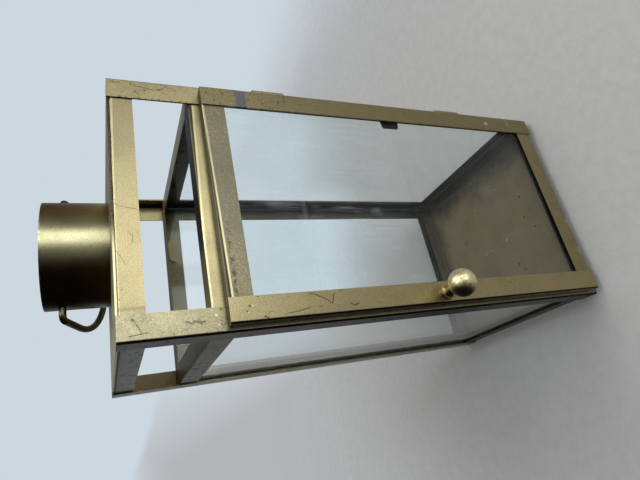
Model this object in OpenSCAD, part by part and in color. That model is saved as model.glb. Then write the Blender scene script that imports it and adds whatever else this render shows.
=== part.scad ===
// Candle lantern of folded sheet strips with a hinged glazed door, an open
// band under the top plate, and a round chimney collar that carries a bail.
// Frame: +Z up, the door faces -Y, origin on the table under the middle.

/* [Body] */
// Width over the corner posts, left to right
body_w = 150; // [120:1:200]
// Depth over the corner posts, front to back
body_d = 147; // [124:1:200]
// Height from the table to the top plate
body_h = 313; // [260:1:420]
// Height of the open band between the middle and the top rails
vent_h = 30; // [16:1:60]

/* [Folded strips] */
// Width of every post leg and of every rail face on the body
strip_w = 13; // [10:0.5:18]
// Thickness of the folded sheet
sheet = 1; // [0.8:0.1:1.3]
// Outer radius of a fold
fold_r = 1.2; // [0.4:0.1:1.8]
// Reach of the base rails' lips under the panes and the floor tray
lip_reach = 6; // [6:0.5:10]

/* [Floor tray] */
// Height of the tray's upturned rim above the lips
rim_h = 8; // [4:0.5:14]
// How far the rim leans outwards over its height
rim_lean = 0.5; // [0:0.1:1]
// Step of the pressed floor inside the border that lies on the lips
tray_land = 2; // [1:0.5:4]

/* [Glass] */
// Thickness of the panes
glass_t = 2; // [1.5:0.1:3]
// Width of the clips that hold the body's panes
clip_w = 18.5; // [12:0.5:22]
// Depth of the rounded pad at the foot of a pane clip
clip_pad_h = 5.5; // [4:0.5:8]
// Drop of the pad's middle below the ledge
clip_drop = 4.7; // [4:0.1:8]
// Thickness of all the clips
clip_t = 0.8; // [0.5:0.1:1.2]
// Distance of the back pane's clip from the middle, to the right
clip_back_x = 32; // [0:1:45]
// Distance of the side panes' clips from the middle, to the back
clip_side_y = 43; // [-45:1:45]

/* [Door] */
// Gap from the body's left edge to the door's latch edge
latch_inset = 2.2; // [0:0.1:5]
// Gap from the body's right edge to the door's hinge edge
hinge_inset = 5.2; // [4.4:0.1:8]
// Height of the door's lower edge above the table
door_lift = 6; // [1:0.5:10]
// Drop of the door's upper edge below the top of the middle rails
door_drop = 6.5; // [1:0.5:10]
// How far the door's face stands in front of the posts
door_proud = 7; // [6.6:0.1:12]
// Face width of the door's stiles and of its top rail
stile_w = 13; // [10:0.5:18]
// Face width of the door's bottom rail
sill_w = 13.5; // [10:0.5:20]
// Length of the door clips along the stile at their root
door_clip_root = 17; // [12:0.5:24]
// Length of the door clips along the stile at their tip
door_clip_tip = 12.5; // [8:0.5:20]
// How far the hinge-side clip shows past the stile's inner edge
door_clip_show = 3; // [0:0.5:6]

/* [Hinges] */
// Length of each hinge
hinge_h = 20; // [16:1:40]
// Outer radius of the rolled knuckles
knuckle_r = 2.2; // [2.2:0.1:3]
// Thickness of the hinge leaves
leaf_t = 0.8; // [0.6:0.1:0.9]
// Width of the leaf that is welded to the post
post_leaf_w = 9.5; // [7:0.5:9.5]
// Width of the leaf that is welded to the door
door_leaf_w = 3.4; // [3:0.1:3.7]
// Distance from the door's upper edge to the middle of the upper hinge
hinge_from_top = 43; // [25:1:90]
// Distance from the door's lower edge to the middle of the lower hinge
hinge_from_foot = 74.5; // [25:0.5:100]

/* [Knob] */
// Diameter of the knob's ball
knob_d = 16; // [12:0.5:22]
// Distance from the door's face to the middle of the ball
knob_reach = 14.5; // [12:0.5:20]
// Diameter of the knob's foot
knob_foot_d = 10; // [8:0.5:12]
// Diameter of the knob's neck
knob_neck_d = 6.4; // [5:0.2:8]
// Thickness of the foot's edge
knob_foot_h = 1.2; // [0.8:0.1:2]
// Diameter of the screw that holds the knob
screw_d = 3; // [2.5:0.5:4]
// Length of the screw inside the knob
screw_grip = 6; // [4:0.5:9]

/* [Chimney] */
// Outer diameter of the collar
collar_d = 64; // [50:1:76]
// Height of the collar above the top plate
collar_h = 35; // [28:1:50]
// Wall of the collar
collar_wall = 1; // [0.8:0.1:2]

/* [Bail] */
// Diameter of the bail's wire
wire_d = 4; // [3:0.2:5]
// Distance from the collar to the middle of a leg, with the bail centred
bail_standoff = 6.3; // [5:0.1:9]
// Length of the straight legs, from the pivot to the arc
bail_leg = 20.2; // [14:0.1:40]
// How far the bent ends reach in from the legs
bail_pin = 10; // [9:0.5:14]
// Drop of the pivot below the collar's rim
bail_drop = 9.7; // [6:0.1:12]
// How far the loose bail has slid along its pivots
bail_slide = -0.8; // [-2:0.1:2]

/* [Hidden] */
$fn = 64;

// Colours of the brass paint, its shaded inside, the floor, glass and steel
brass = [0.66, 0.60, 0.42];
brass_dark = [0.38, 0.33, 0.22];
floor_grey = [0.42, 0.40, 0.34];
clear = [0.80, 0.88, 0.88, 0.35];
steel = [0.62, 0.62, 0.60];

// Clearances: pane to metal, above a pane, tray to pane, and tray to lip
glass_gap = 0.2;
glass_head = 0.5;
tray_gap = 0.5;
lip_gap = 0.3;
// Clearances: leaf to door fold, pin to knuckle, and between knuckles
leaf_gap = 0.25;
pin_gap = 0.05;
knuckle_gap = 0.3;
// Clearances: wire in its hole, wire over the plate, and screw in its holes
wire_gap = 0.3;
rest_gap = 0.3;
screw_gap = 0.05;
screw_pass = 0.2;
// Margin by which a cutting shape passes through what it cuts
through = 1;

// Inside of the posts' legs, which is where the rails' faces lie
in_x = body_w / 2 - sheet;
in_y = body_d / 2 - sheet;
mid_top = body_h - strip_w - vent_h;

// Panes stand on the lips, against the rails
pane_in = sheet + glass_gap + glass_t;
pane_x = in_x - pane_in;
pane_y = in_y - pane_in;
pane_h = mid_top - 2 * sheet - glass_head;

// Tray border on the lips and pressed floor between them
tray_x = pane_x - tray_gap;
tray_y = pane_y - tray_gap;
floor_x = in_x - lip_reach - lip_gap;
floor_y = in_y - lip_reach - lip_gap;
tray_ring = tray_x - floor_x + tray_land;

// Door outline and the depth of its folds
door_left = -body_w / 2 + latch_inset;
door_right = body_w / 2 - hinge_inset;
door_w = door_right - door_left;
door_top = mid_top - door_drop;
door_h = door_top - door_lift;
door_face = -body_d / 2 - door_proud;
door_fold = door_proud - leaf_t - leaf_gap;
door_glass_y = door_face + 2 * sheet;

// Hinge axis, tangent to the door's edge and to the posts' faces
axis_x = door_right + knuckle_r;
axis_y = -body_d / 2 - knuckle_r;
upper_z = door_top - hinge_from_top;
lower_z = door_lift + hinge_from_foot;
knuckle_h = (hinge_h - 2 * knuckle_gap) / 3;
pin_r = knuckle_r - leaf_t - pin_gap;
pin_head_h = 0.6;
pin_head_r = pin_r + pin_head_h;

// Knob on the middle of the latch stile
knob_x = door_left + stile_w / 2;
knob_z = door_lift + door_h / 2;
screw_head_r = screw_d;
screw_head_h = 0.6 * screw_d;
screw_slot_w = 0.6;
door_pane_left = knob_x + screw_head_r + glass_head;
door_pane_right = door_right - sheet - glass_gap;

// Bail geometry: pivot height, half span, reach and resting slope
pivot_z = body_h + collar_h - bail_drop;
bail_half = collar_d / 2 + bail_standoff;
bail_reach = bail_leg + bail_half;
bail_bend = 0.75 * wire_d;
bail_fall = collar_h - bail_drop - wire_d / 2 - rest_gap;
bail_rest = asin(bail_fall / bail_reach);

// Folded strip in section: a leg along X, a leg along Y, round outer corner
module angle_profile(leg_x, leg_y) {
  difference() {
    square([leg_x, leg_y]);
    translate([sheet, sheet]) square([leg_x, leg_y]);
    difference() {
      square(fold_r);
      translate([fold_r, fold_r]) circle(fold_r);
    }
  }
}

// Plan of a mitred frame side, outer edge on y = 0, width reach inwards
module mitre_plan(length, reach) {
  polygon([
    [-length / 2, 0], [length / 2, 0],
    [length / 2 - reach, reach], [-length / 2 + reach, reach]
  ]);
}

// Mitred rail along X, outer face on y = 0, with its fold at the bottom
module folded_rail(length, face, reach) {
  intersection() {
    translate([-length / 2, 0, 0])
      rotate([90, 0, 90])
        linear_extrude(length) angle_profile(reach, face);
    linear_extrude(face) mitre_plan(length, reach);
  }
}

// The same rail with its fold at the top
module crowned_rail(length, face, reach) {
  translate([0, 0, face]) mirror([0, 0, 1]) folded_rail(length, face, reach);
}

// Puts a rail's children on one side of the body: 0 front, 1 right, 2 back, 3 left
module on_side(side) {
  away = side % 2 == 0 ? in_y : in_x;
  rotate([0, 0, 90 * side]) translate([0, -away, 0]) children();
}

function side_length(side) = 2 * (side % 2 == 0 ? in_x : in_y);

// Corner post at the corner with the given signs
module corner_post(sign_x, sign_y) {
  mirror([sign_x > 0 ? 1 : 0, 0, 0])
    mirror([0, sign_y > 0 ? 1 : 0, 0])
      translate([-body_w / 2, -body_d / 2, 0])
        linear_extrude(body_h) angle_profile(strip_w, strip_w);
}

module post_front_left() { color(brass) corner_post(-1, -1); }
module post_front_right() { color(brass) corner_post(1, -1); }
module post_back_left() { color(brass) corner_post(-1, 1); }
module post_back_right() { color(brass) corner_post(1, 1); }

// Base rails carry the panes and the tray on an inward lip
module base_rail(side) {
  color(brass_dark) on_side(side) folded_rail(side_length(side), strip_w, lip_reach);
}

module base_rail_front() { base_rail(0); }
module base_rail_right() { base_rail(1); }
module base_rail_back() { base_rail(2); }
module base_rail_left() { base_rail(3); }

// Middle rails end the glazed part with a full-width ledge
module mid_rail(side) {
  color(brass_dark)
    on_side(side)
      translate([0, 0, mid_top - strip_w])
        crowned_rail(side_length(side), strip_w, strip_w);
}

module mid_rail_front() { mid_rail(0); }
module mid_rail_right() { mid_rail(1); }
module mid_rail_back() { mid_rail(2); }
module mid_rail_left() { mid_rail(3); }

// Top rails carry the top plate on their ledges
module top_rail(side) {
  color(brass)
    on_side(side)
      translate([0, 0, body_h - strip_w])
        crowned_rail(side_length(side), strip_w - sheet, strip_w);
}

module top_rail_front() { top_rail(0); }
module top_rail_right() { top_rail(1); }
module top_rail_back() { top_rail(2); }
module top_rail_left() { top_rail(3); }

module top_plate() {
  color(brass)
    difference() {
      translate([-in_x, -in_y, body_h - sheet]) cube([2 * in_x, 2 * in_y, sheet]);
      translate([0, 0, body_h - sheet - through])
        cylinder(h = sheet + 2 * through, r = collar_d / 2 - collar_wall);
    }
}

// Open tube over the plate's hole, with the bail's two pivot holes
module chimney_collar() {
  color(brass)
    difference() {
      translate([0, 0, body_h]) cylinder(h = collar_h, d = collar_d);
      translate([0, 0, body_h - through])
        cylinder(h = collar_h + 2 * through, r = collar_d / 2 - collar_wall);
      translate([-collar_d / 2 - through, 0, pivot_z])
        rotate([0, 90, 0])
          cylinder(h = collar_d + 2 * through, r = wire_d / 2 + wire_gap);
    }
}

// One side of the tray's leaning rim with its border, mitred at the corners
module tray_side(half_x, half_y) {
  intersection() {
    translate([-half_x, -half_y, sheet])
      rotate([90, 0, 90])
        linear_extrude(2 * half_x)
          polygon([
            [rim_lean, 0], [tray_ring, 0], [tray_ring, sheet],
            [rim_lean + sheet, sheet], [sheet, rim_h], [0, rim_h]
          ]);
    translate([0, -half_y, 0])
      linear_extrude(sheet + rim_h) mitre_plan(2 * half_x, tray_ring);
  }
}

// Pressed tray: the border lies on the lips and the floor sinks between them
module floor_tray() {
  color(floor_grey) {
    translate([-floor_x, -floor_y, 0]) cube([2 * floor_x, 2 * floor_y, sheet]);
    for (turn = [0, 180]) {
      rotate([0, 0, turn]) tray_side(tray_x, tray_y);
      rotate([0, 0, turn + 90]) tray_side(tray_y, tray_x);
    }
  }
}

// Side panes run past the back pane, which stands between them
module side_pane(side) {
  x = side == 1 ? pane_x : -pane_x - glass_t;
  color(clear)
    translate([x, -in_y + sheet + glass_gap, sheet])
      cube([glass_t, 2 * (in_y - sheet - glass_gap), pane_h]);
}

module glass_left() { side_pane(3); }
module glass_right() { side_pane(1); }

module glass_back() {
  color(clear)
    translate([-pane_x + glass_gap, pane_y, sheet])
      cube([2 * (pane_x - glass_gap), glass_t, pane_h]);
}

// Spring clip under a ledge: a foot, a neck and a rounded pad on the pane
module pane_clip() {
  neck_w = clip_w - clip_pad_h;
  pad_r = clip_pad_h / 2;
  color(brass_dark) {
    translate([0, glass_gap + clip_t, 0])
      rotate([90, 0, 0])
        linear_extrude(clip_t) {
          for (end = [-1, 1])
            translate([end * neck_w / 2, -clip_drop]) circle(pad_r);
          translate([-neck_w / 2, -clip_drop - pad_r]) square([neck_w, clip_drop + pad_r]);
        }
    translate([-neck_w / 2, glass_gap, -clip_t]) cube([neck_w, strip_w / 2, clip_t]);
  }
}

module glass_clip_back() {
  translate([clip_back_x, pane_y, mid_top - sheet]) rotate([0, 0, 180]) pane_clip();
}

module glass_clip_left() {
  translate([-pane_x, clip_side_y, mid_top - sheet]) rotate([0, 0, -90]) pane_clip();
}

module glass_clip_right() {
  translate([pane_x, clip_side_y, mid_top - sheet]) rotate([0, 0, 90]) pane_clip();
}

// Rolled knuckle number i of a hinge, counted from below
module knuckle(i) {
  translate([0, 0, i * (knuckle_h + knuckle_gap)])
    difference() {
      cylinder(h = knuckle_h, r = knuckle_r);
      translate([0, 0, -through])
        cylinder(h = knuckle_h + 2 * through, r = knuckle_r - leaf_t);
    }
}

// Leaf blank along -X from the axis; the other leaf's knuckles are cut clear
module leaf_blank(width, own, other) {
  clear_r = knuckle_r + knuckle_gap;
  difference() {
    union() {
      translate([-width, knuckle_r - leaf_t, 0]) cube([width, leaf_t, hinge_h]);
      for (i = own) knuckle(i);
    }
    for (i = other)
      translate([0, 0, i * (knuckle_h + knuckle_gap) - knuckle_gap])
        cylinder(h = knuckle_h + 2 * knuckle_gap, r = clear_r);
  }
}

// Leaf on the post: outer knuckles, tangent to the post's face
module post_leaf(z) {
  color(brass_dark)
    translate([axis_x, axis_y, z - hinge_h / 2])
      leaf_blank(post_leaf_w, [0, 2], [1]);
}

// Leaf on the door's fold: middle knuckle, tangent to the door's edge
module door_leaf(z) {
  color(brass_dark)
    translate([axis_x, axis_y, z - hinge_h / 2])
      rotate([0, 0, 90]) leaf_blank(door_leaf_w, [1], [0, 2]);
}

// Pin with a rounded head at each end
module hinge_pin(z) {
  color(steel)
    translate([axis_x, axis_y, z - hinge_h / 2]) {
      cylinder(h = hinge_h, r = pin_r);
      for (end = [0, 1])
        translate([0, 0, end * hinge_h])
          rotate([180 * (1 - end), 0, 0])
            rotate_extrude() {
              square([pin_head_r - pin_head_h, pin_head_h]);
              intersection() {
                translate([pin_head_r - pin_head_h, 0]) circle(pin_head_h);
                square([pin_head_r, pin_head_h]);
              }
            }
    }
}

module hinge_upper_post_leaf() { post_leaf(upper_z); }
module hinge_lower_post_leaf() { post_leaf(lower_z); }
module hinge_upper_door_leaf() { door_leaf(upper_z); }
module hinge_lower_door_leaf() { door_leaf(lower_z); }
module hinge_upper_pin() { hinge_pin(upper_z); }
module hinge_lower_pin() { hinge_pin(lower_z); }

// Door stiles run the door's full height in front of its rails
module door_stile_hinge() {
  color(brass)
    translate([door_right, door_face, door_lift])
      mirror([1, 0, 0])
        linear_extrude(door_h) angle_profile(stile_w, door_fold);
}

module door_stile_latch() {
  color(brass)
    difference() {
      translate([door_left, door_face, door_lift])
        linear_extrude(door_h) angle_profile(stile_w, door_fold);
      translate([knob_x, door_face - through, knob_z])
        rotate([-90, 0, 0])
          cylinder(h = sheet + 2 * through, r = screw_d / 2 + screw_pass);
    }
}

// Door rails lap behind the stiles' faces and butt against their folds
module door_rail(face) {
  color(brass)
    translate([door_left + sheet, door_face + sheet, 0])
      rotate([90, 0, 90])
        linear_extrude(door_w - 2 * sheet) angle_profile(door_fold - sheet, face);
}

module door_rail_bottom() {
  translate([0, 0, door_lift]) door_rail(sill_w);
}

module door_rail_top() {
  translate([0, 0, door_top]) mirror([0, 0, 1]) door_rail(stile_w);
}

// The door's pane stands on the bottom rail's fold, clear of the knob's screw
module door_glass() {
  color(clear)
    translate([door_pane_left, door_glass_y, door_lift + sheet])
      cube([door_pane_right - door_pane_left, glass_t, door_h - 2 * sheet - glass_head]);
}

// Bent clip from a stile's fold across the pane, with a rounded tip
module door_clip(reach) {
  tip_r = 1.5;
  foot = door_fold - 2 * sheet - glass_t - glass_gap;
  color(brass_dark) {
    rotate([-90, 0, 0])
      linear_extrude(clip_t)
        hull() {
          translate([0, -door_clip_root / 2]) square([clip_t, door_clip_root]);
          for (end = [-1, 1])
            translate([reach - tip_r, end * (door_clip_tip / 2 - tip_r)]) circle(tip_r);
        }
    translate([0, 0, -door_clip_root / 2]) cube([clip_t, foot, door_clip_root]);
  }
}

module door_clip_hinge() {
  translate([door_right - sheet, door_glass_y + glass_t + glass_gap, knob_z])
    mirror([1, 0, 0]) door_clip(stile_w - sheet + door_clip_show);
}

module door_clip_latch() {
  translate([door_left + sheet, door_glass_y + glass_t + glass_gap, knob_z])
    door_clip(stile_w - sheet + door_clip_show / 2);
}

// Turned knob in half section: foot, hollow flare, neck and ball
module knob_profile() {
  foot_r = knob_foot_d / 2;
  neck_r = knob_neck_d / 2;
  flare = foot_r - neck_r;
  square([foot_r, knob_foot_h]);
  difference() {
    square([foot_r, knob_foot_h + flare]);
    translate([foot_r, knob_foot_h + flare]) circle(flare);
  }
  square([neck_r, knob_reach]);
  intersection() {
    translate([0, knob_reach]) circle(d = knob_d);
    square([knob_d, knob_reach + knob_d]);
  }
}

module knob() {
  color(brass)
    translate([knob_x, door_face, knob_z])
      rotate([90, 0, 0])
        difference() {
          rotate_extrude() knob_profile();
          translate([0, 0, -through])
            cylinder(h = screw_grip + 2 * through, r = screw_d / 2 + screw_gap);
        }
}

// Screw from behind the stile into the knob, with a cross recess
module knob_screw() {
  color(steel)
    translate([knob_x, door_face + sheet, knob_z])
      rotate([90, 0, 0])
        difference() {
          union() {
            cylinder(h = sheet + screw_grip, d = screw_d);
            mirror([0, 0, 1]) cylinder(h = screw_head_h, r = screw_head_r);
          }
          for (turn = [0, 90])
            rotate([0, 0, turn])
              translate([-screw_slot_w / 2, -screw_d / 2, -screw_head_h - through])
                cube([screw_slot_w, screw_d, screw_head_h / 2 + through]);
        }
}

// Half of the bail in its own plane, reaching along +Y from the pivot
module bail_half_wire() {
  translate([bail_half - bail_pin, 0, 0])
    rotate([0, 90, 0]) cylinder(h = bail_pin - bail_bend, d = wire_d);
  translate([bail_half - bail_bend, bail_bend, 0])
    rotate([0, 0, -90])
      rotate_extrude(angle = 90) translate([bail_bend, 0]) circle(d = wire_d);
  translate([bail_half, bail_bend, 0])
    rotate([-90, 0, 0]) cylinder(h = bail_leg - bail_bend, d = wire_d);
  translate([0, bail_leg, 0])
    rotate_extrude(angle = 90) translate([bail_half, 0]) circle(d = wire_d);
}

// Bail folded back until it lies on the top plate
module bail() {
  color(brass_dark)
    translate([bail_slide, 0, pivot_z])
      rotate([-bail_rest, 0, 0]) {
        bail_half_wire();
        mirror([1, 0, 0]) bail_half_wire();
      }
}

post_front_left();
post_front_right();
post_back_left();
post_back_right();
base_rail_front();
base_rail_back();
base_rail_left();
base_rail_right();
mid_rail_front();
mid_rail_back();
mid_rail_left();
mid_rail_right();
top_rail_front();
top_rail_back();
top_rail_left();
top_rail_right();
top_plate();
chimney_collar();
floor_tray();
glass_back();
glass_left();
glass_right();
glass_clip_back();
glass_clip_left();
glass_clip_right();
hinge_upper_post_leaf();
hinge_lower_post_leaf();
hinge_upper_pin();
hinge_lower_pin();
door_stile_hinge();
door_stile_latch();
door_rail_top();
door_rail_bottom();
door_glass();
door_clip_hinge();
door_clip_latch();
hinge_upper_door_leaf();
hinge_lower_door_leaf();
knob();
knob_screw();
bail();
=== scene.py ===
"""Looks of the candle lantern: lacquered brass strips, panes, floor tray, knob and bail.

The model stands upright with its door towards -Y, and the photo's lantern lies on its back. So the
camera is turned, and the stage is pale or dim by direction, where the photo's sheet and room are.
"""

import math

import bpy
from mathutils import Euler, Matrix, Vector

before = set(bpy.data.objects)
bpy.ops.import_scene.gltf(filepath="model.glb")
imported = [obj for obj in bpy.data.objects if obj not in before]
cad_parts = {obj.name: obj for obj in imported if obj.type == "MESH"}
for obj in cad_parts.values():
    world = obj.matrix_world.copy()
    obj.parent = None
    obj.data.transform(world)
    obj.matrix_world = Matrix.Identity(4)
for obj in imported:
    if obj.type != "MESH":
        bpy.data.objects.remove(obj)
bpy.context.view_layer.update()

MM = 0.001


def tone(red, green, blue):
    """Linear colour of an 8-bit screen colour."""
    def linear(level):
        share = level / 255
        return share / 12.92 if share <= 0.04045 else ((share + 0.055) / 1.055) ** 2.4

    return (linear(red), linear(green), linear(blue), 1.0)


def scaled_tone(colour, factor):
    return tuple(factor * c for c in colour[:3]) + (1.0,)


# Camera: 27.1 mm lens, close in front of the door's latch side near the top; turns in degrees
LENS = 27.1
CAMERA_AT = (-0.13165, -0.29758, 0.31922)
CAMERA_TURN = (-3.384, 65.178, -118.608)

# Stage colours: floor by the lantern, floor further off, and the pale backdrop
FLOOR_NEAR = tone(175, 173, 170)
FLOOR_MIDDLE = tone(178, 180, 181)
BACKDROP = tone(205, 215, 223)
FLOOR_RADIUS = 30.0

# Stage directions: the floor's pale lobes, the dim left, the wall behind and the light overhead
LOBE_BEHIND = (0.375, 0.927, 0.0)
LOBE_BESIDE = (0.62, 0.785, 0.0)
FAR_RIGHT = (1.0, 0.1, 0.0)
LEFT = (-1.0, 0.0, 0.0)
WALL_BEHIND = (0.35, 0.93, 0.1)
OVERHEAD = (0.41, -0.05, 0.91)
DIM_CORNER = (-0.05, -0.03, 0.0)
ROOM_LIGHT = 0.52

# Brass paint: front, door hinges, painted fold highlight, tarnish that left faces also get as
# painted shade, painted shade inside, dirt and deep painted shade, and the door's inner faces
# painted lighter
GOLD = tone(165, 149, 108)
GOLD_DOOR = tone(160, 145, 102)
FOLD_HIGHLIGHT = tone(224, 210, 162)
TARNISH_AND_SIDE_SHADE = tone(112, 107, 92)
SHADE = tone(88, 80, 60)
DIRT_AND_DEEP_SHADE = tone(22, 19, 14)
DOOR_INSIDE = tone(196, 184, 150)

# Wear: bare metal, scratches, pale flecks and rubbed rims
BARE = tone(106, 106, 106)
SCRATCH = tone(66, 55, 36)
FLECK = tone(225, 220, 200)

# Painted highlights along folds on the front: height at x = 0, and rise for each unit of x
MID_FOLD = (0.2687, -0.027)
TOP_FOLD = (0.3114, -0.014)
DOOR_FOLD = (0.26174, 0.0152)
FOLD_WIDTH = 0.6 * MM

# Edges that marks follow, as x on the front: post edges and the top rail's lap on the left post
POST_RIGHT_EDGE = 0.0623
POST_LEFT_EDGE = -0.0716
TOP_RAIL_LAP = -0.0592

# How much of the mirror a pane shows when seen head on
HEAD_ON = 0.012


class Graph:
    """Adds nodes to one node tree and links them."""

    def __init__(self, tree):
        self.tree = tree

    def add(self, kind, inputs=None, **settings):
        node = self.tree.nodes.new(kind)
        for name, value in settings.items():
            setattr(node, name, value)
        for key, value in (inputs or {}).items():
            if isinstance(value, bpy.types.NodeSocket):
                self.tree.links.new(value, node.inputs[key])
            else:
                node.inputs[key].default_value = value
        return node

    def math(self, operation, a, b=0.0, clamp=False):
        node = self.add("ShaderNodeMath", {0: a, 1: b}, operation=operation)
        node.use_clamp = clamp
        return node.outputs[0]

    def times(self, *values):
        total = values[0]
        for value in values[1:]:
            total = self.math("MULTIPLY", total, value)
        return total

    def plus(self, *values):
        total = values[0]
        for value in values[1:]:
            total = self.math("ADD", total, value)
        return total

    def minus(self, a, b):
        return self.math("SUBTRACT", a, b)

    def size(self, value):
        """The value without its sign."""
        return self.math("ABSOLUTE", value)

    def most(self, values):
        """The largest of several masks."""
        top = values[0]
        for value in values[1:]:
            top = self.math("MAXIMUM", top, value)
        return top

    def vector(self, operation, a, b=(0.0, 0.0, 0.0)):
        node = self.add("ShaderNodeVectorMath", {0: a, 1: b}, operation=operation)
        single = operation in ("DOT_PRODUCT", "LENGTH", "DISTANCE")
        return node.outputs["Value" if single else "Vector"]

    def scaled(self, vector, factor):
        inputs = {0: vector, "Scale": factor}
        return self.add("ShaderNodeVectorMath", inputs, operation="SCALE").outputs["Vector"]

    def axis(self, at, direction):
        """How far a place lies along a direction."""
        return self.vector("DOT_PRODUCT", at, direction)

    def ramp(self, value, low, high, start=0.0, end=1.0):
        """Smooth step from start at low to end at high."""
        inputs = {"Value": value, "From Min": low, "From Max": high, "To Min": start, "To Max": end}
        node = self.add("ShaderNodeMapRange", inputs, interpolation_type="SMOOTHSTEP")
        return node.outputs["Result"]

    def band(self, value, middle, half, soft):
        """1 within half of the middle, falling to 0 over soft beyond it."""
        return self.ramp(self.size(self.minus(value, middle)), half, half + soft, 1.0, 0.0)

    def mix(self, share, a, b):
        inputs = {0: share, 6: a, 7: b}
        return self.add("ShaderNodeMix", inputs, data_type="RGBA").outputs[2]

    def mix_shaders(self, share, a, b):
        inputs = {0: share, 1: a.outputs[0], 2: b.outputs[0]}
        return self.add("ShaderNodeMixShader", inputs)

    def noise(self, at, size, detail=3.0, rough=0.55, stretch=(1.0, 1.0, 1.0), output="Fac"):
        """Noise with features of about this size in metres, longer along stretched axes."""
        steps = tuple(1.0 / (size * s) for s in stretch)
        inputs = {"Vector": self.vector("MULTIPLY", at, steps), "Scale": 1.0}
        inputs.update({"Detail": detail, "Roughness": rough})
        return self.add("ShaderNodeTexNoise", inputs).outputs[output]

    def bump(self, height, depth, strength=1.0, onto=None):
        inputs = {"Height": height, "Distance": depth, "Strength": strength}
        if onto is not None:
            inputs["Normal"] = onto
        return self.add("ShaderNodeBump", inputs).outputs["Normal"]

    def ragged(self, at, reach=0.5 * MM, size=1.6 * MM):
        """Places shifted a little by noise, so that marks get uneven edges."""
        wobble = self.noise(at, size, 2.0, 0.6, output="Color")
        shift = self.scaled(self.vector("SUBTRACT", wobble, (0.5, 0.5, 0.5)), 2 * reach)
        return self.vector("ADD", at, shift)

    def front(self, at):
        """Places flattened onto the lantern's front, for marks given by x and z."""
        return self.vector("MULTIPLY", at, (1.0, 0.0, 1.0))

    def stroke(self, flat, start, end, width):
        """Thin mark from start to end, both as x and z in millimetres."""
        a, b = (Vector((x, 0.0, z)) * MM for x, z in (start, end))
        along = b - a
        offset = self.vector("SUBTRACT", flat, tuple(a))
        share = self.vector("DOT_PRODUCT", offset, tuple(along / along.length_squared))
        share = self.math("MULTIPLY", share, 1.0, clamp=True)
        gap = self.vector("DISTANCE", offset, self.scaled(tuple(along), share))
        return self.ramp(gap, 0.5 * width * MM, 1.3 * width * MM, 1.0, 0.0)

    def lines(self, flat, width, *routes):
        """Thin marks, each through several points given as x and z in millimetres."""
        return self.most([
            self.stroke(flat, a, b, width) for route in routes for a, b in zip(route, route[1:])])

    def discs(self, at, inner, outer, places):
        """Round marks at places in millimetres: full to the inner radius, none from the outer."""
        return self.most([
            self.ramp(self.vector("DISTANCE", at, tuple(c * MM for c in place)),
                      inner * MM, outer * MM, 1.0, 0.0) for place in places])

    def spots(self, flat, radius, *places):
        """Round marks on the front, given as x and z in millimetres."""
        return self.discs(flat, 0.6 * radius, 1.1 * radius, [(x, 0.0, z) for x, z in places])

    def scribble(self, flat, size, width, amount):
        """Curly thin lines where noise crosses its middle, kept in scattered patches."""
        line = self.noise(flat, size, 1.5, 0.5)
        line = self.ramp(self.size(self.minus(line, 0.5)), 0.0, width, 1.0, 0.0)
        moved = self.vector("ADD", flat, (0.31, 0.0, 0.17))
        patch = self.noise(moved, 2.2 * size, 2.0, 0.6)
        return self.times(line, self.ramp(patch, 0.62 - amount, 0.68 - amount))


def material(name):
    """An empty node material and its graph."""
    made = bpy.data.materials.new(name)
    made.use_nodes = True
    made.node_tree.nodes.clear()
    return made, Graph(made.node_tree)


def finish_surface(graph, shader):
    graph.add("ShaderNodeOutputMaterial", {"Surface": shader.outputs[0]})


def object_space(graph):
    """Object-space place and normal; both stay with a piece when its body moves."""
    node = graph.add("ShaderNodeTexCoord")
    return node.outputs["Object"], node.outputs["Normal"]


def facing_in(graph, at, normal):
    """1 on faces that look towards the lantern's middle axis, 0 on outer faces."""
    flat = graph.vector("MULTIPLY", at, (1.0, 1.0, 0.0))
    return graph.ramp(graph.vector("DOT_PRODUCT", flat, normal), -0.012, -0.004, 1.0, 0.0)


def strip_tones(graph, at, normal, inwards, stains, front, side, inner, level, upper):
    """Tones of a strip's front and back, left, level and inward faces; upper is over the panes.
    These are painted light and shade: the paint made lighter or darker by the way a face looks and
    by height.
    """
    leftward, upward = graph.axis(normal, LEFT), graph.axis(normal, (0, 0, 1))
    side = graph.mix(stains, side, scaled_tone(DIRT_AND_DEEP_SHADE, 1.5))
    colour = graph.mix(graph.ramp(leftward, 0.72, 0.95), front, side)
    colour = graph.mix(graph.ramp(graph.size(upward), 0.9, 0.98), colour, level)
    if upper is not None:
        inner = graph.mix(graph.ramp(graph.axis(at, (0, 0, 1)), 0.262, 0.266), inner, upper)
    return graph.mix(inwards, colour, inner)


def strip_dirt_and_shade(graph, at, normal, inwards, stains, corner_shade, painted_shade):
    """Painted shade in the four corners under the middle rails, a dark painted line along the left
    faces' front edge, painted shade on folds between front and left, and scuffs on the left faces.
    """
    across, deep, up = (graph.axis(at, way) for way in ((1, 0, 0), (0, 1, 0), (0, 0, 1)))
    ahead, leftward = graph.axis(normal, (0, -1, 0)), graph.axis(normal, LEFT)
    sideways = graph.ramp(graph.size(leftward), 0.72, 0.95)
    corner = graph.ramp(graph.plus(graph.size(across), graph.size(deep)), 0.1360, 0.1445)
    low = graph.ramp(graph.minus(up, graph.times(sideways, 0.1)), 0.270, 0.264)
    masks = [
        # painted shade: inner corners darken below the middle rails
        graph.times(corner, inwards, low, corner_shade),
        # painted shade: a dark line on left faces by their front edge
        graph.times(sideways, graph.band(deep, -0.0727, 0.0009, 0.0006), 0.85),
        # painted shade on folds between the front and the left
        graph.times(graph.ramp(leftward, 0.2, 0.45), graph.ramp(ahead, 0.15, 0.35), 0.85),
        graph.times(graph.ramp(leftward, 0.72, 0.95), graph.ramp(stains, 0.3, 0.7), 0.6),
    ]
    # a piece's own extra painted shade
    if painted_shade is not None:
        masks.append(painted_shade(graph, at, normal))
    return graph.most(masks)


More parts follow.
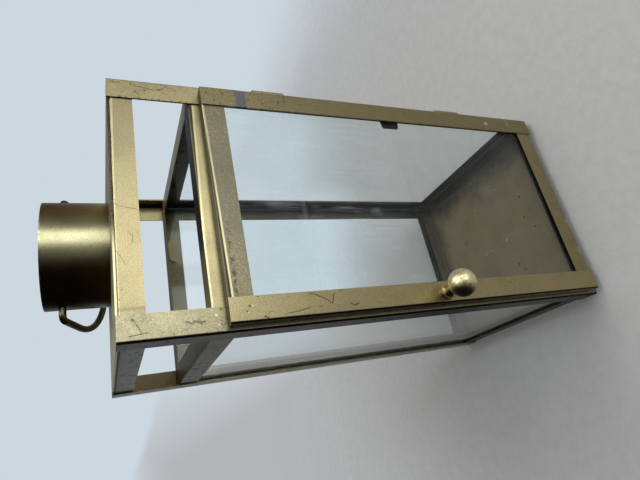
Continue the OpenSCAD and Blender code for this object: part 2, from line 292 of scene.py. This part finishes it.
def brass_paint(name, front=GOLD, side=TARNISH_AND_SIDE_SHADE, inner=SHADE, level=SHADE, upper=None,
                corner_shade=0.8, painted_shade=None, marks=None):
    """Satin brass paint with a flake grain, a painted highlight on folds that look up and to the
    front, and painted shade that turns dark and matte.
    """
    made, graph = material(name)
    at, normal = object_space(graph)
    grain = graph.noise(at, 0.62 * MM, 2.0, 0.6)
    cloud = graph.noise(at, 16 * MM, 4.0, 0.6)
    inwards = facing_in(graph, at, normal)
    stains = graph.ramp(graph.noise(at, 5 * MM, 5.0, 0.75), 0.52, 0.64, 0.0, 0.6)
    stains = graph.most([stains, graph.times(graph.scribble(at, 6 * MM, 0.02, 0.12), 0.7)])
    colour = strip_tones(graph, at, normal, inwards, stains, front, side, inner, level, upper)
    # Painted shade and scuffs darken the paint
    dark = strip_dirt_and_shade(graph, at, normal, inwards, stains, corner_shade, painted_shade)
    colour = graph.mix(dark, colour, DIRT_AND_DEEP_SHADE)
    upward, ahead = graph.axis(normal, (0, 0, 1)), graph.axis(normal, (0, -1, 0))
    # Painted highlight on folds between the top and the front
    fold_highlight = graph.times(graph.ramp(upward, 0.12, 0.3), graph.ramp(ahead, 0.12, 0.3), 0.8)
    colour = graph.mix(fold_highlight, colour, FOLD_HIGHLIGHT)
    colour = graph.mix(graph.ramp(cloud, 0.4, 0.75, 0.0, 0.2), colour, scaled_tone(TARNISH_AND_SIDE_SHADE, 0.7))
    colour = graph.mix(graph.ramp(grain, 0.5, 0.75, 0.0, 0.42), colour, scaled_tone(TARNISH_AND_SIDE_SHADE, 0.45))
    colour = graph.mix(graph.ramp(grain, 0.5, 0.25, 0.0, 0.28), colour, tone(235, 225, 190))
    relief = graph.bump(grain, 0.03 * MM, 0.5)
    relief = graph.bump(cloud, 0.2 * MM, 0.25, relief)
    if marks is not None:
        true = graph.front(at)
        for mask, mark in marks(graph, graph.ragged(true), true):
            colour = graph.mix(mask, colour, mark)
            relief = graph.bump(mask, -0.05 * MM, 0.5, relief)
    shiny = graph.add("ShaderNodeBsdfPrincipled", {
        "Base Color": colour, "Metallic": 1.0,
        "Roughness": graph.plus(graph.times(cloud, 0.10), 0.35), "Normal": relief,
        "Coat Weight": 0.1, "Coat Roughness": 0.35,
    })
    # A dark matte surface where the painted shade and scuffs are
    dull = graph.add("ShaderNodeBsdfDiffuse", {
        "Color": scaled_tone(DIRT_AND_DEEP_SHADE, 0.6), "Normal": relief,
    })
    finish_surface(graph, graph.mix_shaders(graph.times(dark, 0.9), shiny, dull))
    return made


def sill_shade(graph, at, normal):
    """Painted shade: black on the bottom rail's upper cut edge."""
    return graph.ramp(graph.axis(normal, (0, 0, 1)), 0.5, 0.9)


def base_shade(graph, at, normal):
    """Painted shade: black where the front base rail stands behind the door."""
    return graph.times(graph.ramp(graph.axis(at, (0, 0, 1)), 0.0070, 0.0085), 0.95)


# The marks functions below give pairs of a mask and its colour. Flat is the ragged place on the
# front and true the exact one. Points and widths are in millimetres, as x and z on the front.

def lit_line(graph, flat, fold):
    """Mask along a fold whose height changes a little with x, and the strip above it: where a
    painted highlight and painted shade go.
    """
    height, rise = fold
    across, up = graph.axis(flat, (1, 0, 0)), graph.axis(flat, (0, 0, 1))
    above = graph.minus(graph.minus(up, height), graph.times(across, rise))
    line = graph.band(above, 0.0, 0.5 * FOLD_WIDTH, 0.35 * MM)
    return line, graph.ramp(above, 0.8 * FOLD_WIDTH, 1.3 * FOLD_WIDTH)


def mid_rail_marks(graph, flat, true):
    """Painted highlight along the front middle rail's fold, and painted shade above it."""
    line, above = lit_line(graph, true, MID_FOLD)
    return [(graph.times(above, 0.85), DIRT_AND_DEEP_SHADE), (graph.times(line, 0.6), FOLD_HIGHLIGHT)]


def post_right_marks(graph, flat, true):
    """Scribbled scratches on the front right post and chips along its inner edge."""
    across, up = graph.axis(flat, (1, 0, 0)), graph.axis(flat, (0, 0, 1))
    chips = graph.ramp(graph.noise(flat, 2.5 * MM, 2.0, 0.6), 0.5, 0.58)
    scratches = graph.lines(
        flat, 0.28,
        [(71.6, 300), (70.3, 294), (69.0, 288), (70.6, 283.5)],
        [(73.2, 310.8), (71.9, 308.3), (72.4, 306.7), (71.0, 305.4)])
    masks = [
        graph.times(graph.scribble(flat, 5.5 * MM, 0.018, 0.10), graph.ramp(up, 0.262, 0.268)),
        graph.times(graph.band(across, POST_RIGHT_EDGE, 0.0003, 0.0008), chips),
        scratches,
        graph.lines(flat, 0.22, [(68.8, 285.8), (72.3, 281.7), (71.4, 277.9), (70.2, 275.7)]),
        graph.spots(flat, 0.7, (72.4, 300.6)),
    ]
    return [(graph.times(graph.most(masks), 0.75), SCRATCH)]


def post_left_marks(graph, flat, true):
    """A ring with its tail, worm-like scratches, chips along the outer edge and rubbed flecks."""
    edge = graph.band(graph.axis(flat, (1, 0, 0)), POST_LEFT_EDGE, 0.0004, 0.0012)
    chips = graph.ramp(graph.noise(flat, 3.0 * MM, 5.0, 0.8), 0.56, 0.62)
    pitted = graph.ramp(graph.noise(flat, 1.2 * MM, 2.0), 0.5, 0.6)
    masks = [
        graph.lines(flat, 0.25, [(-64.7, 305.7), (-65.6, 305.2), (-71.0, 302.3)]),
        graph.spots(flat, 0.8, (-64.7, 306.0)),
        graph.lines(flat, 0.3, [(-72.2, 308.1), (-71.8, 304.5), (-71.3, 299.7)]),
        graph.times(edge, chips, 0.7),
        graph.times(graph.spots(flat, 2.6, (-68.9, 265.1)), pitted),
        graph.spots(flat, 1.0, (-63.0, 265.8)),
        graph.scribble(flat, 6 * MM, 0.014, 0.04),
        graph.lines(flat, 0.35, [
            (-67.6, 283.0), (-68.9, 280.4), (-67.8, 278.8), (-69.3, 276.2), (-68.4, 273.6)]),
        graph.lines(flat, 0.3, [(-69.6, 279.8), (-68.0, 277.6), (-69.0, 274.4)],
                    [(-66.9, 276.8), (-70.0, 275.6)]),
    ]
    wear_and_highlight = graph.most([
        graph.spots(flat, 0.7, (-65.8, 268.4)), graph.spots(flat, 0.5, (-70.6, 267.6))])
    return [(graph.times(graph.most(masks), 0.7), SCRATCH), (graph.times(wear_and_highlight, 0.6), FLECK)]


def top_rail_marks(graph, flat, true):
    """Hairline scratches on the front top rail, its lap on the left post and a painted highlight
    along its fold.
    """
    lap = graph.band(graph.axis(flat, (1, 0, 0)), TOP_RAIL_LAP, 0.0002, 0.0012)
    line, _ = lit_line(graph, true, TOP_FOLD)
    masks = [
        graph.lines(flat, 0.2, [(-4.1, 311.9), (-6.4, 306.9), (-7.8, 299.6)],
                    [(-28.5, 312.7), (-33.0, 309.6), (-37.5, 307.4)]),
        graph.lines(flat, 0.22, [(-19.7, 305.7), (-22.4, 303.6), (-26.1, 304.2)]),
        graph.spots(flat, 0.5, (-49.5, 309.6)), graph.spots(flat, 0.45, (-54.4, 311.0)),
        graph.times(lap, 0.45),
    ]
    return [(graph.times(line, 0.6), FOLD_HIGHLIGHT), (graph.times(graph.most(masks), 0.6), SCRATCH)]


def hinge_stile_marks(graph, flat, true):
    """A bare patch, specks and scribbles by the upper hinge, and marks by the door's foot."""
    across, up = graph.axis(flat, (1, 0, 0)), graph.axis(flat, (0, 0, 1))
    torn = graph.times(graph.minus(graph.noise(flat, 2.4 * MM, 3.0, 0.7), 0.5), 0.012)
    patch = graph.times(
        graph.ramp(graph.plus(up, torn), 0.2438, 0.2430), graph.ramp(up, 0.2366, 0.2372),
        graph.ramp(across, 0.0558, 0.0566), graph.ramp(graph.plus(across, torn), 0.0700, 0.0690))
    specks = graph.ramp(graph.noise(flat, 2.2 * MM, 3.0, 0.7), 0.62, 0.66)
    worn = graph.most([graph.scribble(flat, 4.5 * MM, 0.02, 0.12), specks])
    zone = graph.times(graph.ramp(up, 0.196, 0.206), graph.ramp(up, 0.264, 0.258))
    pecks = graph.spots(
        flat, 0.7, (67.4, 233.5), (69.0, 225.7), (62.6, 235.5), (60.5, 227.1), (58.0, 222.4),
        (56.6, 205.9), (60.0, 256.0), (65.4, 260.1))
    dark = graph.most([graph.times(worn, zone), pecks])
    scrape = graph.lines(flat, 0.4, [(70.0, 32.2), (69.6, 28.6), (66.0, 26.8), (61.6, 27.0)])
    pale = graph.most([graph.spots(flat, 2.0, (62.8, 49.4)), graph.times(scrape, 0.7)])
    return [(graph.times(dark, 0.7), SCRATCH), (patch, BARE),
            (graph.times(pale, 0.8), tone(205, 200, 190))]


def latch_stile_marks(graph, flat, true):
    """The hooked scratch on the latch stile with a tick, a long line, chips and faint curls."""
    hook = graph.lines(true, 0.3, [
        (-61.0, 221.3), (-61.7, 218.4), (-63.1, 215.4), (-64.9, 212.3), (-67.3, 209.6),
        (-64.5, 208.5), (-62.0, 207.6)])
    tick = graph.lines(true, 0.35, [
        (-68.1, 198.9), (-68.7, 197.9), (-69.2, 196.7), (-68.8, 195.3), (-68.2, 194.0)])
    line = graph.lines(true, 0.3, [(-70.2, 234.0), (-69.8, 229.4), (-69.1, 225.9), (-68.2, 222.3)])
    faint = graph.most([
        graph.lines(true, 0.3, [(-70.6, 236.8), (-70.2, 234.0)], [(-68.1, 217.8), (-67.9, 215.5)],
                    [(-69.6, 245.7), (-69.3, 243.8)]),
        graph.lines(true, 0.25, [(-68.6, 244.2), (-68.7, 241.7)])])
    curls = graph.lines(
        flat, 0.3, [(-60.3, 110.4), (-62.0, 107.6), (-60.3, 105.8)],
        [(-62.8, 87.2), (-64.4, 84.0), (-61.6, 81.6), (-62.7, 78.7)])
    masks = [
        hook, tick, graph.times(line, 0.9), graph.times(faint, 0.5), graph.times(curls, 0.5),
        graph.spots(flat, 0.8, (-64.8, 253.4), (-70.8, 246.4)),
        graph.spots(flat, 0.7, (-71.6, 245.2), (-58.8, 260.9)),
        graph.spots(flat, 0.6, (-67.5, 255.0)),
        graph.spots(flat, 0.5, (-60.4, 248.9), (-60.6, 203.6), (-60.4, 202.0), (-60.2, 167.0),
                    (-68.4, 158.3)),
    ]
    pale = graph.most([
        graph.spots(flat, 0.7, (-64.9, 252.1)), graph.spots(flat, 0.5, (-68.0, 254.3))])
    return [(graph.times(graph.most(masks), 0.8), SCRATCH), (graph.times(pale, 0.4), FLECK)]


def plate_marks(graph, flat, true):
    """Painted highlight on the plate's front edge towards the left."""
    wear_and_highlight = graph.ramp(graph.axis(flat, (1, 0, 0)), -0.012, -0.034)
    return [(graph.times(wear_and_highlight, 0.85), FOLD_HIGHLIGHT)]


def door_top_marks(graph, flat, true):
    """Painted highlight along the door's upper fold, painted shade beyond it, and a dark speckled
    line.
    """
    across, up = graph.axis(flat, (1, 0, 0)), graph.axis(flat, (0, 0, 1))
    lit, above = lit_line(graph, true, DOOR_FOLD)
    lit = graph.times(lit, graph.ramp(across, 0.06, -0.03, 0.3, 0.75))
    soft = graph.times(graph.band(across, 0.0, 0.012, 0.03), 0.35)
    line = graph.times(
        graph.band(up, 0.2585, 0.0005, 0.0010), graph.ramp(across, -0.018, -0.024))
    gaps = graph.ramp(graph.noise(flat, 3.2 * MM, 3.0, 0.7), 0.47, 0.53)
    return [(soft, scaled_tone(TARNISH_AND_SIDE_SHADE, 0.6)), (graph.times(above, 0.85), DIRT_AND_DEEP_SHADE),
            (lit, FOLD_HIGHLIGHT), (graph.times(line, gaps, 0.7), SCRATCH)]


def sill_marks(graph, flat, true):
    """Rubbed pale patches along the outer edge of the door's bottom rail."""
    edge = graph.ramp(graph.axis(flat, (0, 0, 1)), 0.0092, 0.0072)
    places = graph.most([
        graph.spots(flat, 4.0, (-22.0, 8.0)), graph.spots(flat, 4.5, (-43.0, 8.5))])
    worn = graph.ramp(graph.noise(flat, 3.0 * MM, 3.0, 0.6), 0.45, 0.55)
    return [(graph.times(edge, places, worn, 0.6), tone(205, 205, 195))]


def pane_glass(name, axis, haze, streaks=0.0):
    """Thin clear pane: straight-through view, a faint mirror, smears, and greener cut edges."""
    made, graph = material(name)
    at, normal = object_space(graph)
    edge = graph.ramp(graph.size(graph.axis(normal, axis)), 0.4, 0.8, 1.0, 0.0)
    tint = graph.mix(edge, tone(252, 254, 254), tone(150, 165, 158))
    clear = graph.add("ShaderNodeBsdfTransparent", {"Color": tint})
    mirror = graph.add("ShaderNodeBsdfGlossy", {"Color": (1, 1, 1, 1), "Roughness": 0.03})
    facing = graph.add("ShaderNodeLayerWeight", {"Blend": 0.5}).outputs["Facing"]
    grazing = graph.times(graph.math("POWER", facing, 5.0), 0.96)
    pane = graph.mix_shaders(graph.plus(grazing, HEAD_ON), clear, mirror)
    film = graph.add("ShaderNodeBsdfDiffuse", {"Color": tone(222, 228, 230)})
    smear = graph.ramp(graph.noise(at, 45 * MM, 3.0, 0.5), 0.35, 0.8, 0.2 * haze, haze)
    up = graph.axis(at, (0, 0, 1))
    wiped = graph.times(
        graph.ramp(graph.noise(at, 2.2 * MM, 4.0, 0.65, (1.0, 1.0, 16.0)), 0.46, 0.72),
        graph.ramp(graph.noise(at, 26 * MM, 3.0), 0.42, 0.6))
    wipe_end = graph.times(graph.band(up, 0.2125, 0.0004, 0.0012), 0.25)
    wiped = graph.times(graph.most([wiped, wipe_end]), graph.ramp(up, 0.11, 0.18))
    cloudy = graph.plus(smear, graph.times(wiped, streaks), graph.times(edge, 0.12))
    finish_surface(graph, graph.mix_shaders(cloudy, pane, film))
    return made


def tray_finish():
    """Greyed brass floor: painted shade towards the right, back and front rims, with pale and dark
    specks.
    """
    made, graph = material("tray_finish")
    at, _ = object_space(graph)
    across, deep = graph.axis(at, (1, 0, 0)), graph.axis(at, (0, 1, 0))
    grain = graph.noise(at, 0.8 * MM, 2.0, 0.6)
    cloud = graph.noise(at, 26 * MM, 4.0, 0.6)
    wander = graph.times(graph.minus(cloud, 0.5), 0.03)
    # Painted shade along the rims, black at the front
    painted_shade = graph.most([
        graph.ramp(graph.plus(across, wander), 0.038, 0.064),
        graph.ramp(graph.plus(deep, wander), 0.048, 0.066, 0.0, 0.6),
        graph.ramp(deep, -0.0645, -0.0665),
    ])
    colour = graph.mix(graph.ramp(cloud, 0.35, 0.7), tone(133, 118, 87), tone(122, 108, 79))
    colour = graph.mix(graph.ramp(grain, 0.42, 0.75, 0.0, 0.5), colour, tone(70, 64, 48))
    colour = graph.mix(graph.times(painted_shade, 0.85), colour, tone(30, 27, 22))
    level = graph.ragged(graph.vector("MULTIPLY", at, (1.0, 1.0, 0.0)), 0.8 * MM, 1.2 * MM)
    pale = graph.discs(level, 0.3, 0.7, [
        (60, 0, 0), (38.9, -24.4, 0), (35.1, 5.3, 0), (-6.2, -16.8, 0),
        (-7, 4, 0), (-6, 8, 0), (-8, 11, 0), (-9, 2, 0)])
    dark = graph.discs(level, 0.7, 1.2, [
        (2.8, -41.7, 0), (-8.8, -48.1, 0), (20, -45, 0), (-30, -20, 0), (-36, -24, 0), (12, 30, 0)])
    dust = graph.ramp(graph.noise(at, 3.0 * MM, 3.0, 0.7), 0.68, 0.72, 0.0, 0.5)
    colour = graph.mix(dust, colour, tone(150, 145, 128))
    colour = graph.mix(graph.times(dark, 0.8), colour, tone(45, 40, 32))
    colour = graph.mix(graph.times(pale, 0.7), colour, tone(215, 210, 195))
    finish_surface(graph, graph.add("ShaderNodeBsdfPrincipled", {
        "Base Color": colour, "Metallic": 0.35,
        "Roughness": graph.ramp(cloud, 0.3, 0.8, 0.48, 0.62),
        "Normal": graph.bump(cloud, 0.4 * MM, 0.3, graph.bump(grain, 0.03 * MM, 0.4)),
    }))
    return made


def worn_plate():
    """Rubbed brass plating of the knob: brown spots, a silvery patch, and painted shade on its neck
    and its left side.
    """
    made, graph = material("knob_plate")
    at, normal = object_space(graph)
    spots = graph.ramp(graph.noise(at, 1.3 * MM, 5.0, 0.75), 0.50, 0.64)
    silver = graph.times(
        graph.ramp(graph.noise(at, 5.0 * MM, 3.0, 0.6), 0.52, 0.6),
        graph.ramp(graph.axis(normal, (0.6, 0.1, -0.75)), 0.2, 0.7))
    # Painted shade on the left side and on the neck
    left = graph.ramp(graph.axis(normal, (-0.9, -0.1, 0.42)), 0.5, 0.88, 0.0, 0.85)
    neck_shade = graph.ramp(graph.axis(at, (0, 1, 0)), -0.0885, -0.0865, 0.0, 0.65)
    grain = graph.noise(at, 0.5 * MM, 3.0, 0.6)
    wear_and_highlight = graph.ramp(grain, 0.3, 0.7, 0.0, 0.6)
    colour = graph.mix(wear_and_highlight, tone(254, 240, 192), tone(210, 186, 126))
    colour = graph.mix(graph.times(spots, 0.7), colour, tone(112, 86, 44))
    colour = graph.mix(silver, colour, tone(190, 192, 194))
    colour = graph.mix(left, colour, tone(48, 36, 20))
    colour = graph.mix(neck_shade, colour, tone(104, 80, 46))
    finish_surface(graph, graph.add("ShaderNodeBsdfPrincipled", {
        "Base Color": colour, "Metallic": 1.0,
        "Roughness": graph.ramp(grain, 0.3, 0.7, 0.32, 0.5),
        "Normal": graph.bump(spots, 0.06 * MM, 0.5, graph.bump(grain, 0.03 * MM, 0.4)),
    }))
    return made


def plain_metal(name, colour, rough, metal=1.0, speck=0.3):
    """Evenly coloured metal with a fine grain and soft stains."""
    made, graph = material(name)
    at, _ = object_space(graph)
    grain = graph.noise(at, 0.6 * MM, 2.0, 0.6)
    cloud = graph.noise(at, 9 * MM, 4.0, 0.6)
    specks = graph.ramp(grain, 0.35, 0.75, 0.0, speck)
    stains = graph.ramp(cloud, 0.4, 0.75, 0.0, 0.4)
    shown = graph.mix(specks, colour, scaled_tone(colour, 0.4))
    shown = graph.mix(stains, shown, scaled_tone(colour, 0.6))
    finish_surface(graph, graph.add("ShaderNodeBsdfPrincipled", {
        "Base Color": shown, "Metallic": metal,
        "Roughness": graph.ramp(cloud, 0.3, 0.8, rough - 0.04, rough + 0.08),
        "Normal": graph.bump(grain, 0.02 * MM, 0.5),
    }))
    return made


def collar_finish():
    """Collar paint: brighter brass with a flake grain, a painted highlight band, painted shade on
    the left and in the bore, a rubbed rim.
    """
    made, graph = material("collar_finish")
    at, normal = object_space(graph)
    grain = graph.noise(at, 0.75 * MM, 2.5, 0.7)
    cloud = graph.noise(at, 18 * MM, 3.0, 0.6)
    # Painted highlight: paler in the band that faces the window lamp
    lit = graph.ramp(graph.axis(normal, (-0.14, -0.99, 0.0)), 0.84, 0.97)
    # Painted shade on the left side
    collar_left_shade = graph.ramp(graph.axis(normal, (-0.95, -0.31, 0.0)), 0.55, 0.88, 0.0, 0.72)
    flakes = graph.ramp(grain, 0.45, 0.75, 0.0, 0.45)
    rim = graph.ramp(graph.axis(at, (0, 0, 1)), 0.3470, 0.3477)
    chips = graph.ramp(graph.noise(at, 4 * MM, 3.0, 0.6), 0.45, 0.6)
    colour = graph.mix(lit, tone(161, 132, 74), tone(172, 162, 124))
    colour = graph.mix(collar_left_shade, colour, tone(40, 34, 20))
    colour = graph.mix(flakes, colour, scaled_tone(tone(112, 98, 62), 0.6))
    # Painted shade in the bore
    colour = graph.mix(facing_in(graph, at, normal), colour, SHADE)
    colour = graph.mix(graph.times(rim, chips, 0.7), colour, FLECK)
    finish_surface(graph, graph.add("ShaderNodeBsdfPrincipled", {
        "Base Color": colour, "Metallic": 1.0,
        "Roughness": graph.ramp(cloud, 0.3, 0.8, 0.27, 0.34),
        "Normal": graph.bump(cloud, 0.3 * MM, 0.25, graph.bump(grain, 0.02 * MM, 0.5)),
        "Coat Weight": 0.05, "Coat Roughness": 0.25,
    }))
    return made


def paint(names, made):
    """Gives these nodes one material."""
    for name in names:
        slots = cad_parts[name].data.materials
        slots.clear()
        slots.append(made)


def paint_strips():
    """Brass paint for the strips, each with the tones and marks that its piece shows; the tones are
    painted light and shade, lighter or darker piece by piece and face by face.
    """
    leaves = [f"hinge_{end}_{side}_leaf" for end in ("upper", "lower") for side in ("post", "door")]
    # Front, side, inner, level and upper tones here are painted light and shade for how each face
    # is lit; the corner and gap masks add painted shade.
    rows = [
        ("brass_base", ["base_rail_back", "base_rail_left", "base_rail_right"], {
            "side": tone(38, 33, 22), "inner": tone(74, 66, 47), "level": tone(50, 45, 34)}),
        ("brass_base_front", ["base_rail_front"], {
            "inner": DIRT_AND_DEEP_SHADE, "level": tone(60, 53, 38), "painted_shade": base_shade}),
        ("brass_mid_front", ["mid_rail_front"], {
            "front": tone(180, 163, 117), "level": tone(80, 66, 38), "marks": mid_rail_marks}),
        ("brass_mid_back", ["mid_rail_back"], {
            "inner": tone(99, 88, 60), "level": tone(82, 73, 50)}),
        ("brass_mid_left", ["mid_rail_left"], {
            "side": tone(96, 92, 78), "level": tone(125, 114, 88)}),
        ("brass_mid_right", ["mid_rail_right"], {
            "inner": tone(84, 77, 58), "level": tone(185, 176, 155)}),
        ("brass_top_sides", ["top_rail_back", "top_rail_left", "top_rail_right"], {}),
        ("brass_top_rail", ["top_rail_front"], {"level": FOLD_HIGHLIGHT, "marks": top_rail_marks}),
        ("brass_back_left", ["post_back_left"], {
            "side": tone(150, 146, 128), "inner": tone(144, 129, 92), "upper": tone(90, 75, 44),
            "corner_shade": 0.6}),
        ("brass_back_right", ["post_back_right"], {
            "inner": tone(98, 88, 62), "upper": tone(170, 153, 108), "corner_shade": 0.85}),
        ("brass_post_right", ["post_front_right"], {
            "front": tone(176, 158, 113), "inner": tone(190, 182, 160),
            "marks": post_right_marks}),
        ("brass_post_left", ["post_front_left"], {
            "front": tone(160, 149, 115), "side": tone(50, 48, 40), "marks": post_left_marks}),
        ("brass_plate", ["top_plate"], {
            "front": tone(60, 46, 28), "side": tone(60, 46, 28), "level": tone(145, 138, 115),
            "marks": plate_marks}),
        ("brass_stile_hinge", ["door_stile_hinge"], {
            "front": tone(139, 125, 85), "inner": DOOR_INSIDE, "corner_shade": 0.0,
            "marks": hinge_stile_marks}),
        ("brass_stile_latch", ["door_stile_latch"], {
            "front": tone(166, 151, 108), "side": tone(110, 104, 86), "inner": DOOR_INSIDE,
            "corner_shade": 0.0, "marks": latch_stile_marks}),
        ("brass_door_top", ["door_rail_top"], {
            "front": tone(127, 117, 91), "inner": DOOR_INSIDE, "level": tone(110, 96, 68),
            "corner_shade": 0.0, "marks": door_top_marks}),
        ("brass_sill", ["door_rail_bottom"], {
            "front": tone(151, 137, 98), "inner": DOOR_INSIDE, "corner_shade": 0.0,
            "painted_shade": sill_shade, "marks": sill_marks}),
        ("brass_hinge", leaves, {
            "front": GOLD_DOOR, "side": GOLD_DOOR, "inner": GOLD_DOOR, "level": GOLD_DOOR,
            "corner_shade": 0.0}),
    ]
    for name, nodes, looks in rows:
        paint(nodes, brass_paint(name, **looks))


def paint_fittings():
    """Collar, tray, clips, pins, knob, bail and panes."""
    clip_brown = plain_metal("clip_brown", tone(96, 86, 64), 0.42)
    clip_black = plain_metal("clip_black", tone(38, 35, 30), 0.45, 0.6)
    steel = plain_metal("steel", tone(165, 165, 162), 0.32)
    paint(["chimney_collar"], collar_finish())
    paint(["floor_tray"], tray_finish())
    paint(["glass_clip_back"], plain_metal("clip_brass", tone(154, 142, 104), 0.42))
    paint(["glass_clip_left", "glass_clip_right"], clip_brown)
    paint(["door_clip_hinge", "door_clip_latch"], clip_black)
    paint(["hinge_upper_pin", "hinge_lower_pin", "knob_screw"], steel)
    paint(["knob"], worn_plate())
    paint(["bail"], plain_metal("bail_bronze", tone(92, 84, 64), 0.32))
    paint(["glass_back"], pane_glass("pane_back", (0, 1, 0), 0.012))
    paint(["door_glass"], pane_glass("pane_door", (0, 1, 0), 0.01, 0.14))
    paint(["glass_left", "glass_right"], pane_glass("pane_side", (1, 0, 0), 0.02))


def sight(graph):
    """1 for rays that see the backdrop's own colour: camera, glossy and transmission.

    The second mask is 1 for glossy rays alone.
    """
    path = graph.add("ShaderNodeLightPath")
    rays = [path.outputs[f"Is {kind} Ray"] for kind in ("Camera", "Glossy", "Transmission")]
    return graph.most(rays), path.outputs["Is Glossy Ray"]


def floor_sheet(graph, at, reach, glossy, dim):
    """Paper-like floor by the lantern, lit by the lamps, and dim on the left to gloss."""
    paper = graph.noise(at, 9 * MM, 6.0, 0.75)
    sheet = graph.mix(graph.ramp(paper, 0.35, 0.7), FLOOR_NEAR, scaled_tone(FLOOR_NEAR, 0.92))
    near = graph.times(glossy, graph.minus(1.0, dim), graph.ramp(reach, 0.1, 0.16))
    sheet = graph.mix(near, sheet, scaled_tone(FLOOR_NEAR, 0.1))
    relief = graph.bump(paper, 0.8 * MM, 0.4)
    return graph.add("ShaderNodeBsdfDiffuse", {"Color": sheet, "Normal": relief})


def floor_glow(graph, at, reach, behind, glossy, dim):
    """Even floor further off, pale in two lobes, far to the right and far away."""
    heading = graph.vector("NORMALIZE", at)
    beside = graph.ramp(graph.axis(heading, LOBE_BESIDE), 0.94, 0.99, 0.0, 0.8)
    pale = graph.most([
        graph.times(behind, graph.ramp(reach, 0.08, 0.38)),
        graph.times(beside, graph.ramp(reach, 0.2, 0.5)),
        graph.ramp(graph.axis(at, FAR_RIGHT), 0.35, 0.7),
        graph.ramp(reach, 1.5, 8.0),
    ])
    sheen = graph.mix(pale, FLOOR_MIDDLE, BACKDROP)
    uneven = graph.plus(graph.noise(at, 9 * MM, 4.0, 0.6), graph.noise(at, 180 * MM, 3.0, 0.5))
    near = graph.ramp(reach, 0.4, 0.9, 1.0, 0.0)
    blotch = graph.times(graph.ramp(uneven, 0.75, 1.25, 0.0, 0.10), near)
    sheen = graph.mix(blotch, sheen, scaled_tone(BARE, 0.6))
    level = graph.mix(glossy, (1, 1, 1, 1), dim)
    return graph.add("ShaderNodeEmission", {"Color": sheen, "Strength": level})


def build_floor():
    """Pale floor: lit and shadowed near the lantern, the backdrop's tone far away."""
    mesh = bpy.data.meshes.new("floor")
    signs = ((-1, -1), (1, -1), (1, 1), (-1, 1))
    corners = [(x * FLOOR_RADIUS, y * FLOOR_RADIUS, 0) for x, y in signs]
    mesh.from_pydata(corners, [], [(0, 1, 2, 3)])
    floor = bpy.data.objects.new("floor", mesh)
    bpy.context.scene.collection.objects.link(floor)
    made, graph = material("floor")
    at, _ = object_space(graph)
    reach = graph.vector("LENGTH", at)
    behind = graph.ramp(graph.axis(graph.vector("NORMALIZE", at), LOBE_BEHIND), 0.90, 0.99)
    seen, glossy = sight(graph)
    from_corner = graph.vector("NORMALIZE", graph.vector("SUBTRACT", at, DIM_CORNER))
    dim = graph.ramp(graph.axis(from_corner, LEFT), 0.3, 0.6, 1.0, 0.04)
    sheet = floor_sheet(graph, at, reach, glossy, dim)
    glow = floor_glow(graph, at, reach, behind, glossy, dim)
    far = graph.most([
        graph.ramp(reach, 0.16, 0.5), graph.times(behind, graph.ramp(reach, 0.13, 0.34))])
    finish_surface(graph, graph.mix_shaders(graph.times(far, seen), sheet, glow))
    mesh.materials.append(made)


def build_world():
    """Soft studio: pale all round to the eye, with a dim side at the front left for gloss."""
    world = bpy.data.worlds.new("studio")
    world.use_nodes = True
    world.node_tree.nodes.clear()
    graph = Graph(world.node_tree)
    toward = graph.add("ShaderNodeTexCoord").outputs["Generated"]
    behind = graph.ramp(graph.axis(toward, WALL_BEHIND), 0.55, 0.98, 0.03, 0.35)
    dim = graph.ramp(graph.axis(toward, LEFT), 0.3, 0.6, 1.0, 0.02)
    above = graph.ramp(graph.axis(toward, OVERHEAD), 0.7, 0.96, 0.0, 0.8)
    seen, glossy = sight(graph)
    level = graph.mix(glossy, (1, 1, 1, 1), graph.plus(graph.times(behind, dim), above))
    shown = graph.add("ShaderNodeBackground", {"Color": BACKDROP, "Strength": level})
    light = graph.add("ShaderNodeBackground", {
        "Color": (0.95, 0.98, 1.0, 1.0), "Strength": ROOM_LIGHT,
    })
    whole = graph.mix_shaders(seen, light, shown)
    graph.add("ShaderNodeOutputWorld", {"Surface": whole.outputs[0]})
    bpy.context.scene.world = world


def add_lamp(name, at, target, size, power, colour):
    """Soft rectangular lamp aimed at a target, unseen by the camera."""
    lamp = bpy.data.lights.new(name, "AREA")
    lamp.shape = "RECTANGLE"
    lamp.size, lamp.size_y = size
    lamp.energy = power
    lamp.color = colour
    placed = bpy.data.objects.new(name, lamp)
    placed.location = at
    placed.rotation_euler = (Vector(target) - Vector(at)).to_track_quat("-Z", "Y").to_euler()
    placed.visible_camera = False
    bpy.context.scene.collection.objects.link(placed)


def build_lamps():
    """A tall window in front on the right, and a broad lamp overhead."""
    add_lamp("window", (0.27, -0.84, 0.49), (0.0, -0.02, 0.45), (0.42, 0.93), 4.3,
             (0.88, 0.95, 1.0))
    add_lamp("sky", (0.55, -0.35, 1.55), (0.0, 0.0, 0.1), (0.9, 0.9), 12.0,
             (0.98, 0.99, 1.0))


def build_camera():
    """The photo's camera."""
    lens = bpy.data.cameras.new("camera")
    lens.lens = LENS
    lens.clip_start = 0.01
    camera = bpy.data.objects.new("camera", lens)
    camera.location = CAMERA_AT
    camera.rotation_euler = Euler([math.radians(a) for a in CAMERA_TURN], "XYZ")
    bpy.context.scene.collection.objects.link(camera)
    bpy.context.scene.camera = camera


build_camera()
paint_strips()
paint_fittings()
build_floor()
build_world()
build_lamps()
bpy.context.scene.view_settings.view_transform = "Standard"
